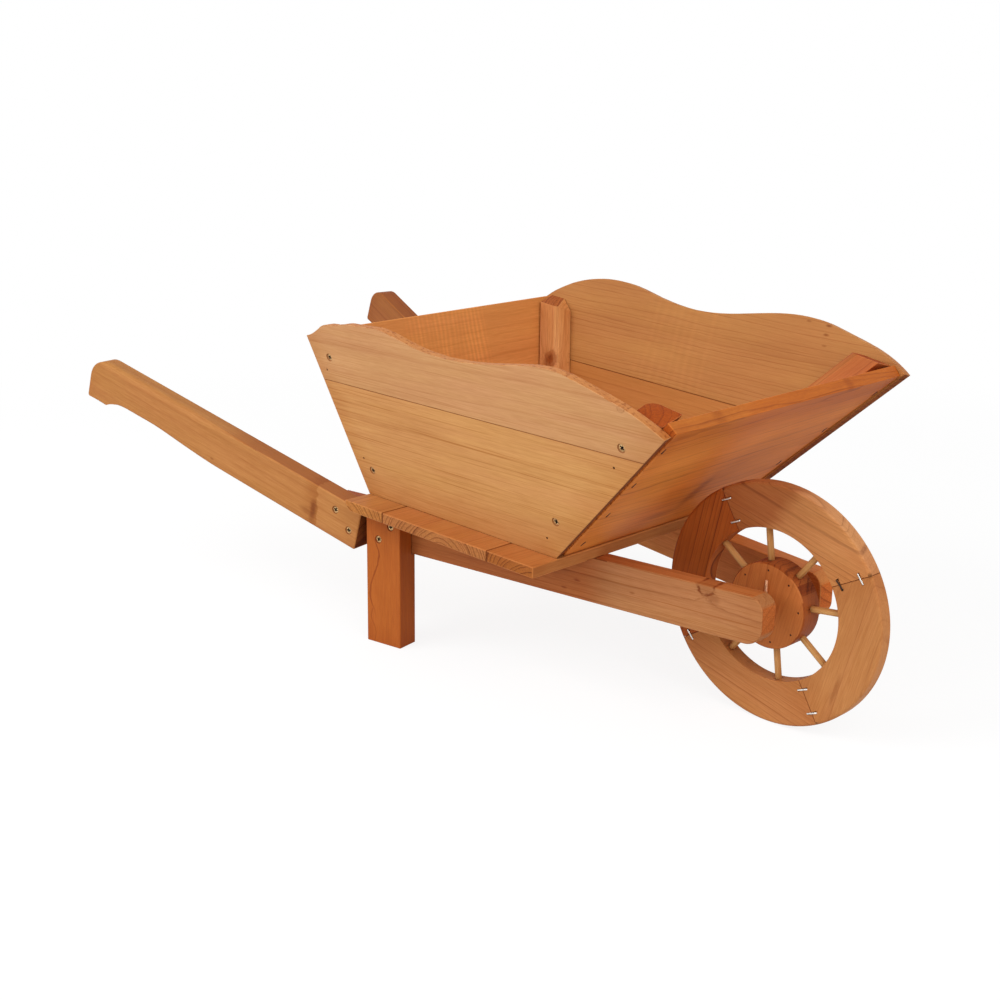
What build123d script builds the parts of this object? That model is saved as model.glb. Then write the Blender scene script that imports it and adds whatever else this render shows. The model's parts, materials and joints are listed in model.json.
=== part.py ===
from build123d import *
from math import cos, radians, sin, tan
import os

os.makedirs("parts", exist_ok=True)

# Wooden wheelbarrow planter: a hopper tub on cross boards, two rails that run in to a spoked
# wheel, two handles and two legs. Millimetres and degrees. The origin is on the ground below
# the middle of the plan, +X runs forward to the wheel, +Y to the left and +Z up.
# Heights and places of the carpentry are measured in the barrow's own frame, whose origin is
# the middle of the floor's top face. That frame dips forward on its wheel and two legs.

# Stance
nose_down = 1.25
plan_middle = -87.7

# Floor boards, laid across
floor_length = 272
floor_width = 334
floor_thick = 11
middle_board = 151
board_gap = 0.6
edge_relief = 7

# Tub walls
side_thick = 10.5
wall = 12
side_lean = 15
back_lean = 14.6
front_lean = 45.6
tub_half = 134.3
tub_back = -136
tub_front = 133.5
back_height = 170.5
front_height = 153
left_over_front = 5
fit_gap = 0.12

# Wave along the top of each side, from the back corner to the tip: height of the back corner,
# then distance forward and height of the points between, then height of the tip
wave_right_back = 168.5
wave_right = [
    (-158, 177.9),
    (-144, 184.5),
    (-128, 186),
    (-112, 189.4),
    (-88, 190.7),
    (-64, 192),
    (-10, 181.3),
    (40, 177.1),
    (107, 183.1),
    (180, 187.5),
    (204, 181.3),
    (229, 174),
]
wave_right_tip = 148.6
wave_left_back = 166.8
wave_left = [
    (-150, 184),
    (-50, 196),
    (-13, 187.6),
    (70, 180.3),
    (165, 190.8),
    (198, 188),
    (224, 181.2),
    (248, 174.4),
]
wave_left_tip = 152

# Tilt of the saw from square to the board: the right wave is cut level, the left one square
saw_right = side_lean
saw_left = 0

# Glue seam of each side's two boards: height at mid length and slope
seam_right = (123, 0)
seam_left = (97.7, -2.9)

# Corner battens: width along the side and thickness, with the free arris rounded
batten_round = 9
back_batten = (30, 20)
front_batten = (27, 26.5)
front_batten_right = 159
front_batten_left = 163
front_batten_cut = -10

# Two rough cuts over the top of each back batten: a point on the cut, then its rise forward
# and towards the side
back_batten_cut = ((-168, 148, 168.7), -0.08, 0.25)
back_batten_chip = ((-136, 147, 166.1), -1, -0.2)

# Rails
rail_wide = 45
rail_thick = 20
rail_half = 107.1
rail_toe = 9.9
rail_back = -190
rail_front = 303.4
rail_nose = 13
rail_chin = 16

# Legs, each notched under its rail
leg_wide = 45
leg_thick = 20
leg_notch = 5
leg_back = -129

# Handles, each turned about the middle of its two screws
handle_wide = 46.5
handle_thick = 23
handle_length = 443
handle_pivot = (-161.4, -18)
handle_centre = (23.5, 24.4)
pitch_right = 14.35
pitch_left = 20.5

# Grip, cut from the end of each handle: the rounded nose, the knob below, and the hollow for
# the fingers as distance from the end and depth
grip_nose = 25
grip_knob = 5
grip_toe = 3
knob_length = 33
grip_hollow = [(51, 3), (85, 5.5), (120, 5.8), (155, 3.8), (190, 1.5)]
grip_length = 230

# Rounding of the right grip's outer top arris, which fades out down the handle: distance from
# the end and radius
grip_round = [(-1, 8), (170, 8), (285, 0.4)]

# Wheel
axle_x = 278
axle_drop = 35
wheel_radius = 113
rim_inner = 71.3
rim_thick = 16
rim_round = 3
rim_joints = [29, 121, 213, 300.5]
joint_open = 0.1
spoke_count = 8
spoke_first = 8
spoke_radius = 3
spoke_inner = 29
spoke_outer = 82
socket_slack = 0.05
hub_radius = 40
hub_thick = 24
hub_edge = 1
axle_radius = 8
axle_length = 97
axle_slack = 0.06
axle_end_play = 2
pin_radius = 1.25
pin_from = 3
pin_to = 25
pin_out = 13.6

# Fasteners
screw_head = 4.3
screw_shank = 1.8
screw_taper = 2.5
short_screw = 25
long_screw = 33
brad_radius = 1.1
brad_length = 20
hub_nail_radius = 0.95
hub_nail_length = 8
nail_sink = 0.4
hole_slack = 0.06
staple_wire = 1.5
rim_staple = (11, 6)
front_staple = (8, 18)
front_staple_sink = 0.5

# Places of the fasteners on their faces: distance forward and height
side_screw_spots = [(-149, 149.2), (-120.6, 29.9), (236.8, 131.8), (141.9, 39.5)]
side_brad_spots = [(-157.8, 134.8), (-130.8, 41.8), (225, 111.6), (126.7, 19.3)]
leg_screw_spots = [(-112.8, -30), (-96.5, -13.5)]
handle_screw_spots = [(34.1, 31.7), (11.8, 17.5)]
front_staple_heights = [12, 53, 92, 133]
front_staple_inset = (15, 4)
rim_staple_radii = [80, 102]
hub_nail_ring = 33.7
hub_nail_angles = [5, 49, 90, 137, 182, 228, 281, 324]

right, left = -1, 1
waves = {right: wave_right, left: wave_left}
wave_backs = {right: wave_right_back, left: wave_left_back}
wave_tips = {right: wave_right_tip, left: wave_left_tip}
saw_tilts = {right: saw_right, left: saw_left}
front_batten_tops = {right: front_batten_right, left: front_batten_left}
seams = {right: seam_right, left: seam_left}
pitches = {right: pitch_right, left: pitch_left}
over_fronts = {right: 0, left: left_over_front}
side_names = {right: "right", left: "left"}

dip_cos, dip_sin = cos(radians(nose_down)), sin(radians(nose_down))
floor_height = wheel_radius + axle_x * dip_sin + axle_drop * dip_cos
barrow = Plane(
    origin=(-plan_middle, 0, floor_height),
    x_dir=(dip_cos, 0, -dip_sin),
    z_dir=(dip_sin, 0, dip_cos),
)
lean_cos, lean_sin = cos(radians(side_lean)), sin(radians(side_lean))


def barrow_plane(origin, x_dir, z_dir):
    def turned(direction):
        x, y, z = direction
        return barrow.x_dir * x + barrow.y_dir * y + barrow.z_dir * z

    return Plane(origin=barrow.from_local_coords(Vector(*origin)), x_dir=turned(x_dir), z_dir=turned(z_dir))


def wall_plane(side, depth=0):
    """A side's outer face, or a face that lies deeper. Inward is side times its normal."""
    origin = (0, side * (tub_half - depth * lean_cos), depth * lean_sin)
    return barrow_plane(origin, (1, 0, 0), (0, -lean_cos, side * lean_sin))


def rail_plane(side, out=0):
    """A rail's outer face, or a face further out. Outward is minus side times its normal."""
    toe_cos, toe_sin = cos(radians(rail_toe)), sin(radians(rail_toe))
    origin = (out * toe_sin, side * (rail_half + out * toe_cos), -floor_thick)
    return barrow_plane(origin, (toe_cos, -side * toe_sin, 0), (-side * toe_sin, -toe_cos, 0))


def handle_plane(side, out=0):
    """A handle's face: origin at the lower end's bottom corner, x along the handle to its grip."""
    face = rail_plane(side, out)
    pitch = radians(pitches[side])
    along = face.y_dir * sin(pitch) - face.x_dir * cos(pitch)
    across = face.x_dir * sin(pitch) + face.y_dir * cos(pitch)
    pivot = face.from_local_coords(Vector(*handle_pivot))
    origin = pivot - along * handle_centre[0] - across * handle_centre[1]
    return Plane(origin=origin, x_dir=along, z_dir=-face.z_dir)


def outward_spots(face, side, spots):
    """Places on a side's face that look out of the wood."""
    return [
        Plane(origin=face.from_local_coords(Vector(u, v)), x_dir=face.x_dir, z_dir=face.z_dir * -side)
        for u, v in spots
    ]


def wall_point(x, height):
    return (x, height / lean_cos)


def back_edge(height, inset=0):
    return wall_point(tub_back - height * tan(radians(back_lean)) + inset, height)


def front_edge(height, inset=0):
    return wall_point(tub_front + height * tan(radians(front_lean)) - inset, height)


floor_face = barrow
floor_under = barrow.offset(-floor_thick)
below_floor = -8
blank_height = 210
wheel_plane = barrow_plane((axle_x, 0, -axle_drop), (1, 0, 0), (0, -1, 0))


def export(part, name):
    part.label = name
    export_step(part, f"parts/{name}.step")


# Fasteners: head at the origin, shank down the negative Z axis


def screw_solid(length, slack=0):
    with BuildPart() as screw:
        with BuildSketch(Plane.XZ):
            with BuildLine():
                Polyline(
                    (0, 0),
                    (screw_head + slack, 0),
                    (screw_shank + slack, -screw_taper - slack),
                    (screw_shank + slack, -length + 2 * screw_shank - slack),
                    (0, -length - slack),
                    close=True,
                )
            make_face()
        revolve(axis=Axis.Z)
    return screw.part


def nail_solid(radius, length, slack, sink):
    with BuildPart() as nail:
        with Locations((0, 0, -sink)):
            Cylinder(radius + slack, length + slack, align=(Align.CENTER, Align.CENTER, Align.MAX))
    return nail.part


def staple_solid(size, sink, slack=0, headroom=0):
    crown, leg = size
    width = staple_wire + 2 * slack
    leg_middle = (crown - staple_wire) / 2
    seat = -sink - slack
    standing = (Align.CENTER, Align.CENTER, Align.MIN)
    with BuildPart() as staple:
        with Locations((0, 0, seat)):
            Box(crown + 2 * slack, width, staple_wire / 2 + headroom, align=standing)
        with Locations((-leg_middle, 0, seat - leg), (leg_middle, 0, seat - leg)):
            Box(width, width, leg + staple_wire / 4, align=standing)
    return staple.part


side_screw = screw_solid(short_screw)
side_screw_hole = screw_solid(short_screw, hole_slack)
long_screw_solid = screw_solid(long_screw)
long_screw_hole = screw_solid(long_screw, hole_slack)
brad = nail_solid(brad_radius, brad_length, 0, nail_sink)
brad_hole = nail_solid(brad_radius, brad_length + nail_sink, hole_slack, 0)
hub_nail = nail_solid(hub_nail_radius, hub_nail_length, 0, nail_sink)
hub_nail_hole = nail_solid(hub_nail_radius, hub_nail_length + nail_sink, hole_slack, 0)
rim_staple_solid = staple_solid(rim_staple, 0)
rim_staple_hole = staple_solid(rim_staple, 0, hole_slack)
front_staple_solid = staple_solid(front_staple, front_staple_sink)
front_staple_hole = staple_solid(front_staple, front_staple_sink, hole_slack, front_staple_sink)


def side_screw_places(side):
    return outward_spots(wall_plane(side), side, [wall_point(x, z) for x, z in side_screw_spots])


def side_brad_places(side):
    return outward_spots(wall_plane(side), side, [wall_point(x, z) for x, z in side_brad_spots])


def leg_screw_places(side):
    return outward_spots(rail_plane(side, leg_thick), side, leg_screw_spots)


def handle_screw_places(side):
    return outward_spots(handle_plane(side, handle_thick), -side, handle_screw_spots)


front_plane = barrow_plane(
    (tub_front, 0, 0),
    (0, 1, 0),
    (cos(radians(front_lean)), 0, -sin(radians(front_lean))),
)
back_plane = barrow_plane(
    (tub_back, 0, 0),
    (0, 1, 0),
    (cos(radians(back_lean)), 0, sin(radians(back_lean))),
)


def front_staple_places(side):
    """A row near the side wall, a little closer to it towards the top."""
    face = front_plane
    low, high = front_staple_heights[0], front_staple_heights[-1]
    places = []
    for height in front_staple_heights:
        share = (height - low) / (high - low)
        inset = front_staple_inset[0] + share * (front_staple_inset[1] - front_staple_inset[0])
        edge = tub_half + height * tan(radians(side_lean)) - side_thick / lean_cos
        spot = Vector(side * (edge - inset), height / cos(radians(front_lean)))
        places.append(Plane(origin=face.from_local_coords(spot), x_dir=face.y_dir, z_dir=face.z_dir))
    return places


# Tub sides, each of two boards glued edge to edge


def seam_plane(side):
    face = wall_plane(side)
    height, slope = seams[side]
    turn = radians(slope)
    up = face.y_dir * cos(turn) - face.x_dir * sin(turn)
    along = face.x_dir * cos(turn) + face.y_dir * sin(turn)
    return Plane(origin=face.from_local_coords(Vector(*wall_point(0, height))), x_dir=along, z_dir=up)


def side_board(side, keep):
    """A plain panel, square at its ends, whose top is sawn to the wave with the saw tilted."""
    back_top = back_edge(wave_backs[side])
    over_front = over_fronts[side]
    tip = front_edge(wave_tips[side], -over_front)
    crest = [wall_point(x, z) for x, z in waves[side]]
    swing = radians(side_lean - saw_tilts[side])
    saw = barrow.z_dir * sin(swing) - barrow.y_dir * (side * cos(swing))
    with BuildPart() as board:
        with BuildSketch(wall_plane(side)):
            with BuildLine():
                Polyline(
                    front_edge(blank_height, -over_front),
                    front_edge(below_floor, -over_front),
                    back_edge(below_floor),
                    back_edge(blank_height),
                    close=True,
                )
            make_face()
        extrude(amount=side * side_thick)
        with BuildSketch(wall_plane(side)):
            with BuildLine():
                Spline(back_top, *crest, tip)
                Polyline(
                    tip,
                    (tip[0] + wall, tip[1]),
                    (tip[0] + wall, below_floor),
                    (back_top[0] - wall, below_floor),
                    (back_top[0] - wall, back_top[1]),
                    back_top,
                )
            make_face()
        extrude(amount=2 * side_thick, dir=saw, mode=Mode.INTERSECT)
        split(bisect_by=floor_face, keep=Keep.TOP)
        split(bisect_by=seam_plane(side), keep=keep)
        with Locations(*side_screw_places(side)):
            add(side_screw_hole, mode=Mode.SUBTRACT)
        with Locations(*side_brad_places(side)):
            add(brad_hole, mode=Mode.SUBTRACT)
    return board.part


for side in (right, left):
    export(side_board(side, Keep.TOP), f"{side_names[side]}_side_upper_board")
    export(side_board(side, Keep.BOTTOM), f"{side_names[side]}_side_lower_board")


# Front and back boards, let in between the sides


def trim_between_sides():
    split(bisect_by=wall_plane(left, side_thick + fit_gap), keep=Keep.TOP)
    split(bisect_by=wall_plane(right, side_thick + fit_gap), keep=Keep.BOTTOM)
    split(bisect_by=floor_face, keep=Keep.TOP)


with BuildPart() as front_board:
    with BuildSketch(front_plane):
        with Locations((0, below_floor)):
            Rectangle(
                2 * floor_width,
                front_height / cos(radians(front_lean)) - below_floor,
                align=(Align.CENTER, Align.MIN),
            )
    extrude(amount=-wall)
    trim_between_sides()
    with Locations(*front_staple_places(right), *front_staple_places(left)):
        add(front_staple_hole, mode=Mode.SUBTRACT)
export(front_board.part, "front_board")

with BuildPart() as back_board:
    with BuildSketch(back_plane):
        with Locations((0, below_floor)):
            Rectangle(
                2 * floor_width,
                back_height / cos(radians(back_lean)) - below_floor,
                align=(Align.CENTER, Align.MIN),
            )
    extrude(amount=wall)
    trim_between_sides()
export(back_board.part, "back_board")


# Corner battens, drawn on the sides' inner faces


def top_cut(side, point, forward, sideways):
    x, y, z = point
    return barrow_plane((x, side * y, z), (1, 0, forward), (-forward, -side * sideways, 1))


def corner_batten(side, outline, thick, cuts):
    with BuildPart() as batten:
        with BuildSketch(wall_plane(side, side_thick + fit_gap)):
            with BuildLine():
                Polyline(*outline, close=True)
            make_face()
        extrude(amount=side * thick)
        long_edges = batten.edges().sort_by(SortBy.LENGTH)[-4:]
        fillet(long_edges.sort_by_distance(barrow.origin)[0], batten_round)
        split(bisect_by=floor_face, keep=Keep.TOP)
        for cut in cuts:
            split(bisect_by=top_cut(side, *cut), keep=Keep.BOTTOM)
        with Locations(*side_screw_places(side)):
            add(side_screw_hole, mode=Mode.SUBTRACT)
        with Locations(*side_brad_places(side)):
            add(brad_hole, mode=Mode.SUBTRACT)
        with Locations(*front_staple_places(side)):
            add(front_staple_hole, mode=Mode.SUBTRACT)
    return batten.part


def back_batten_outline():
    wide = back_batten[0] / cos(radians(back_lean))
    near = wall / cos(radians(back_lean)) + fit_gap
    return [
        back_edge(2 * below_floor, near),
        back_edge(blank_height, near),
        back_edge(blank_height, near + wide),
        back_edge(2 * below_floor, near + wide),
    ]


def front_batten_outline(top):
    """Along the front board, with its top end cut to a slope that falls forward."""
    rise = tan(radians(front_lean))
    fall = tan(radians(front_batten_cut))
    wide = front_batten[0] / cos(radians(front_lean))
    near = wall / cos(radians(front_lean)) - side_thick * lean_sin * rise + 2 * fit_gap
    drop = wide * fall / (1 - rise * fall)
    return [
        front_edge(2 * below_floor, near),
        front_edge(top + drop, near),
        front_edge(top, near + wide),
        front_edge(2 * below_floor, near + wide),
    ]


for side in (right, left):
    back_cuts = [back_batten_cut, back_batten_chip]
    back_post = corner_batten(side, back_batten_outline(), back_batten[1], back_cuts)
    export(back_post, f"back_{side_names[side]}_batten")
    front_outline = front_batten_outline(front_batten_tops[side])
    front_post = corner_batten(side, front_outline, front_batten[1], [])
    export(front_post, f"front_{side_names[side]}_batten")


# Floor: three boards across the rails


def floor_board(start, end, relieved):
    with BuildPart() as board:
        with BuildSketch(floor_under):
            with Locations(((start + end) / 2, 0)):
                Rectangle(end - start, floor_width)
        extrude(amount=floor_thick)
        if relieved:
            rear_edges = board.edges().filter_by(Axis.Y)
            lowest_rear = rear_edges.sort_by(Axis.X)[:2].sort_by(Axis.Z)[0]
            chamfer(lowest_rear, edge_relief)
    return board.part


middle_half = middle_board / 2
floor_half = floor_length / 2
export(floor_board(-floor_half, -middle_half - board_gap, True), "back_floor_board")
export(floor_board(-middle_half, middle_half, False), "middle_floor_board")
export(floor_board(middle_half + board_gap, floor_half, False), "front_floor_board")


# Rails, legs and handles


def rail(side):
    """A straight bar whose front end is sawn parallel to the axle and rounded."""
    length = rail_front - rail_back
    chin_start = (rail_front - rail_chin, -rail_wide)
    chin_end = (rail_front, rail_chin - rail_wide)
    nose_start = (rail_front, -rail_nose)
    nose_end = (rail_front - rail_nose, 0)
    with BuildPart() as bar:
        with BuildSketch(rail_plane(side)):
            with Locations((rail_back, -fit_gap)):
                Rectangle(length + rail_wide, rail_wide - fit_gap, align=(Align.MIN, Align.MAX))
        extrude(amount=side * rail_thick)
        with BuildSketch(barrow_plane((0, 0, -floor_thick), (1, 0, 0), (0, -1, 0))):
            with BuildLine():
                Polyline(nose_end, (-length, 0), (-length, -rail_wide), chin_start)
                TangentArc(chin_start, chin_end, tangent=(1, 0))
                Line(chin_end, nose_start)
                TangentArc(nose_start, nose_end, tangent=(0, 1))
            make_face()
        extrude(amount=floor_width, both=True, mode=Mode.INTERSECT)
        with BuildSketch(wheel_plane.offset(-axle_length / 2 - axle_end_play)):
            Circle(axle_radius + axle_slack)
        extrude(amount=axle_length + 2 * axle_end_play, mode=Mode.SUBTRACT)
        with Locations(*leg_screw_places(side), *handle_screw_places(side)):
            add(long_screw_hole, mode=Mode.SUBTRACT)
    return bar.part


def leg(side):
    leg_middle = leg_back + leg_wide / 2
    with BuildPart() as post:
        with BuildSketch(rail_plane(side, fit_gap)):
            with Locations((leg_middle, -fit_gap)):
                Rectangle(leg_wide, floor_height, align=(Align.CENTER, Align.MAX))
        extrude(amount=-side * (leg_thick - fit_gap))
        with BuildSketch(rail_plane(side, fit_gap)):
            with Locations((leg_middle, -rail_wide - fit_gap)):
                Rectangle(leg_wide, floor_height - rail_wide, align=(Align.CENTER, Align.MAX))
        extrude(amount=side * (leg_notch + fit_gap))
        split(bisect_by=Plane.XY, keep=Keep.TOP)
        with Locations(*leg_screw_places(side)):
            add(long_screw_hole, mode=Mode.SUBTRACT)
    return post.part


def grip_rounding():
    """What is taken off the right grip's outer top arris."""
    face = handle_plane(right, handle_thick)
    over = 1
    with BuildPart() as cutter:
        for reach, radius in grip_round:
            arris = face.from_local_coords(Vector(handle_length - reach, handle_wide))
            with BuildSketch(Plane(origin=arris, x_dir=-face.z_dir, z_dir=face.x_dir)):
                with BuildLine():
                    Polyline((-radius, 0), (-radius, over), (over, over), (over, -radius), (0, -radius))
                    TangentArc((0, -radius), (-radius, 0), tangent=(0, 1))
                make_face()
        loft(ruled=True)
    return cutter.part


def handle(side):
    top_end = (handle_length - grip_nose, handle_wide)
    nose_end = (handle_length, handle_wide - grip_nose)
    toe_start = (handle_length, grip_toe - grip_knob)
    toe_end = (handle_length - grip_toe, -grip_knob)
    knob_end = (handle_length - knob_length, -grip_knob)
    hollow = [(handle_length - reach, depth) for reach, depth in grip_hollow]
    hollow_start = (handle_length - grip_length, 0)
    with BuildPart() as bar:
        with BuildSketch(handle_plane(side, fit_gap)):
            with BuildLine():
                Polyline(hollow_start, (0, 0), (0, handle_wide), top_end)
                TangentArc(top_end, nose_end, tangent=(1, 0))
                Line(nose_end, toe_start)
                TangentArc(toe_start, toe_end, tangent=(0, -1))
                Line(toe_end, knob_end)
                Spline(knob_end, *hollow, hollow_start)
            make_face()
        extrude(amount=side * (handle_thick - fit_gap))
        if side == right:
            add(grip_rounding(), mode=Mode.SUBTRACT)
        with Locations(*handle_screw_places(side)):
            add(long_screw_hole, mode=Mode.SUBTRACT)
    return bar.part


for side in (right, left):
    export(rail(side), f"{side_names[side]}_rail")
    export(leg(side), f"{side_names[side]}_leg")
    export(handle(side), f"{side_names[side]}_handle")


# Wheel: four felloes, eight spokes, hub, axle and pin


def radial_plane(angle, radius, out=0):
    """A plane square to the wheel's radius at this angle, out towards the right side."""
    turn = radians(angle)
    origin = wheel_plane.from_local_coords(Vector(radius * cos(turn), radius * sin(turn), out))
    direction = wheel_plane.x_dir * cos(turn) + wheel_plane.y_dir * sin(turn)
    return Plane(origin=origin, x_dir=wheel_plane.z_dir, z_dir=direction)


spoke_angles = [spoke_first + index * 360 / spoke_count for index in range(spoke_count)]
rim_spans = zip(rim_joints, rim_joints[1:] + [rim_joints[0] + 360])


def rim_staple_places():
    """Two staples over each butt joint, on both faces of the rim."""
    places = []
    for angle in rim_joints:
        for radius in rim_staple_radii:
            spot = radial_plane(angle, radius)
            across = spot.z_dir.cross(spot.x_dir)
            for face in (-1, 1):
                origin = spot.origin + spot.x_dir * (face * rim_thick / 2)
                places.append(Plane(origin=origin, x_dir=across, z_dir=spot.x_dir * face))
    return places


def felloe(start, end):
    sweep = end - start - 2 * joint_open
    with BuildPart() as segment:
        with BuildSketch(wheel_plane.offset(-rim_thick / 2)):
            with BuildLine():
                outer = CenterArc((0, 0), wheel_radius, start + joint_open, sweep)
                inner = CenterArc((0, 0), rim_inner, start + joint_open, sweep)
                Line(outer @ 0, inner @ 0)
                Line(outer @ 1, inner @ 1)
            make_face()
        extrude(amount=rim_thick)
        fillet(segment.edges().filter_by(GeomType.CIRCLE).sort_by(SortBy.RADIUS)[-2:], rim_round)
        for angle in spoke_angles:
            if (angle - start) % 360 < end - start:
                with BuildSketch(radial_plane(angle, hub_radius)):
                    Circle(spoke_radius + socket_slack)
                extrude(amount=spoke_outer - hub_radius + socket_slack, mode=Mode.SUBTRACT)
        with Locations(*rim_staple_places()):
            add(rim_staple_hole, mode=Mode.SUBTRACT)
    return segment.part


for index, (start, end) in enumerate(rim_spans, 1):
    export(felloe(start, end), f"felloe_{index}")

for index, angle in enumerate(spoke_angles, 1):
    with BuildPart() as spoke:
        with BuildSketch(radial_plane(angle, spoke_inner)):
            Circle(spoke_radius)
        extrude(amount=spoke_outer - spoke_inner)
    export(spoke.part, f"spoke_{index}")


def hub_nail_places():
    face = wheel_plane.offset(hub_thick / 2)
    places = []
    for angle in hub_nail_angles:
        spot = Vector(hub_nail_ring, 0).rotate(Axis.Z, angle)
        places.append(Plane(origin=face.from_local_coords(spot), x_dir=face.x_dir, z_dir=face.z_dir))
    return places


with BuildPart() as hub:
    with BuildSketch(wheel_plane.offset(-hub_thick / 2)):
        Circle(hub_radius)
        Circle(axle_radius + socket_slack, mode=Mode.SUBTRACT)
    extrude(amount=hub_thick)
    chamfer(hub.edges().filter_by(GeomType.CIRCLE).sort_by(SortBy.RADIUS)[-2:], hub_edge)
    for angle in spoke_angles:
        with BuildSketch(radial_plane(angle, spoke_inner - socket_slack)):
            Circle(spoke_radius + socket_slack)
        extrude(amount=hub_radius, mode=Mode.SUBTRACT)
    with Locations(*hub_nail_places()):
        add(hub_nail_hole, mode=Mode.SUBTRACT)
export(hub.part, "hub")

pin_plane = radial_plane(90, pin_from, pin_out)
with BuildPart() as axle:
    with BuildSketch(wheel_plane.offset(-axle_length / 2)):
        Circle(axle_radius)
    extrude(amount=axle_length)
    with BuildSketch(pin_plane):
        Circle(pin_radius + socket_slack)
    extrude(amount=axle_radius, mode=Mode.SUBTRACT)
export(axle.part, "axle")

with BuildPart() as axle_pin:
    with BuildSketch(pin_plane):
        Circle(pin_radius)
    extrude(amount=pin_to - pin_from)
export(axle_pin.part, "axle_pin")


# Fastener groups, each of separate solids


def fastener_group(solid, places, name):
    with BuildPart() as group:
        with Locations(*places):
            add(solid)
    export(group.part, name)


fastener_group(side_screw, side_screw_places(right) + side_screw_places(left), "side_screws")
fastener_group(brad, side_brad_places(right) + side_brad_places(left), "side_brads")
fastener_group(long_screw_solid, leg_screw_places(right) + leg_screw_places(left), "leg_screws")
fastener_group(long_screw_solid, handle_screw_places(right) + handle_screw_places(left), "handle_screws")
fastener_group(front_staple_solid, front_staple_places(right) + front_staple_places(left), "front_staples")
fastener_group(rim_staple_solid, rim_staple_places(), "rim_staples")
fastener_group(hub_nail, hub_nail_places(), "hub_nails")
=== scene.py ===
import bpy, bmesh, json
from math import radians, pi
from mathutils import Matrix, Vector
from mathutils.bvhtree import BVHTree


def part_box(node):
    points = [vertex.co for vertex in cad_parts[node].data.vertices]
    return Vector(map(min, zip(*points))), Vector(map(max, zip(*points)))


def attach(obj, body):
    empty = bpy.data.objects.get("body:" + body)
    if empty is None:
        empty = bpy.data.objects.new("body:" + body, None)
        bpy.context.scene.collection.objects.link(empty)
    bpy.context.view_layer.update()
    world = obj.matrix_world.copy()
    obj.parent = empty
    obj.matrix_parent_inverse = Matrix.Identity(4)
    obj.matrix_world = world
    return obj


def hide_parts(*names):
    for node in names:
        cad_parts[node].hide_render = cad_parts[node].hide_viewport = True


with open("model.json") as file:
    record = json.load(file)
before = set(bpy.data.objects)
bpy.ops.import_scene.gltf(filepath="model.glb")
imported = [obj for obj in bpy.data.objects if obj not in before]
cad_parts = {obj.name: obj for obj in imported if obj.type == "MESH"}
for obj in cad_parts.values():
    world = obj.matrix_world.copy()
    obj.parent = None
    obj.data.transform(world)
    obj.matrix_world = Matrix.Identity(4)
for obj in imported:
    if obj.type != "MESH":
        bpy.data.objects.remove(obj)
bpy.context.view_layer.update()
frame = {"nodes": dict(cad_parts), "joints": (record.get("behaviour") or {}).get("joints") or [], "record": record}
cadNodes = frame["nodes"]
record = frame["record"]
bodyOf = {node: body for body, members in record["behaviour"]["bodies"].items() for node in members}
slotOf = {row["node"]: row["material_slot"] for row in record["subparts"]}
scene = bpy.context.scene
scene.view_settings.view_transform = "Standard"
mm = 0.001
print("frame loaded with", len(cadNodes), "pieces")


# camera at the photo's angle
viewer = dict(place=(1.07191, -1.03129, 0.57276), turn=(76.499, 0.9415, 48.875), lens=51.08,
              shift=(0.0789, -0.0736))
cameraData = bpy.data.cameras.new("viewer")
cameraData.lens = viewer["lens"]
cameraData.shift_x, cameraData.shift_y = viewer["shift"]
camera = bpy.data.objects.new("viewer", cameraData)
camera.location = viewer["place"]
camera.rotation_euler = [radians(turn) for turn in viewer["turn"]]
scene.collection.objects.link(camera)
scene.camera = camera


# small helpers for node trees
def linear(colour):  # a colour as a screen shows it, made linear
    return [((c + 0.055) / 1.055) ** 2.4 if c > 0.04045 else c / 12.92 for c in colour] + [1.0]


def feed(tree, node, inputs):  # links sockets, and sets plain values
    for key, value in inputs.items():
        if isinstance(value, bpy.types.NodeSocket):
            tree.links.new(value, node.inputs[key])
        else:
            node.inputs[key].default_value = value


def put(tree, kind, inputs=None, **settings):
    node = tree.nodes.new("ShaderNode" + kind)
    for name, value in settings.items():
        setattr(node, name, value)
    feed(tree, node, inputs or {})
    return node


def sums(tree, operation, a, b=0.0, c=0.0, clamp=False):
    return put(tree, "Math", {0: a, 1: b, 2: c}, operation=operation, use_clamp=clamp).outputs[0]


def times(tree, a, b):
    return sums(tree, "MULTIPLY", a, b)


def scaled(tree, value, by, plus, clamp=False):
    return sums(tree, "MULTIPLY_ADD", value, by, plus, clamp)


def vectors(tree, operation, a, b=(0, 0, 0)):
    outputs = put(tree, "VectorMath", {0: a, 1: b}, operation=operation).outputs
    return outputs["Value" if operation in ("LENGTH", "DOT_PRODUCT") else "Vector"]


def apart(tree, vector):
    return put(tree, "SeparateXYZ", {0: vector}).outputs


def blend(tree, share, a, b, mode="MIX"):  # sockets 6 and 7 and output 2 of a Mix node are its colours
    return put(tree, "Mix", {0: share, 6: a, 7: b}, data_type="RGBA", blend_type=mode).outputs[2]


def dyed(tree, colour, tint):
    return blend(tree, 1.0, colour, tint, "MULTIPLY")


def tinted(tree, share, colour, tint):  # dyed in full where the share is 1
    return blend(tree, share, colour, dyed(tree, colour, tint))


def shade(tree, colour, level):
    return put(tree, "VectorMath", {0: colour, "Scale": level}, operation="SCALE").outputs[0]


def spread(tree, value, low, high, newLow=0.0, newHigh=1.0):
    return put(tree, "MapRange", {0: value, 1: low, 2: high, 3: newLow, 4: newHigh},
               interpolation_type="SMOOTHSTEP").outputs[0]


def cloud(tree, vector, lengths, detail, rough=0.55):  # noise in blotches so many mm long, wide and deep
    shrunk = vectors(tree, "MULTIPLY", vector, [1 / size for size in lengths])
    return put(tree, "TexNoise", {"Vector": shrunk, "Scale": 1.0, "Detail": detail,
                                  "Roughness": rough}).outputs[0]


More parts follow.
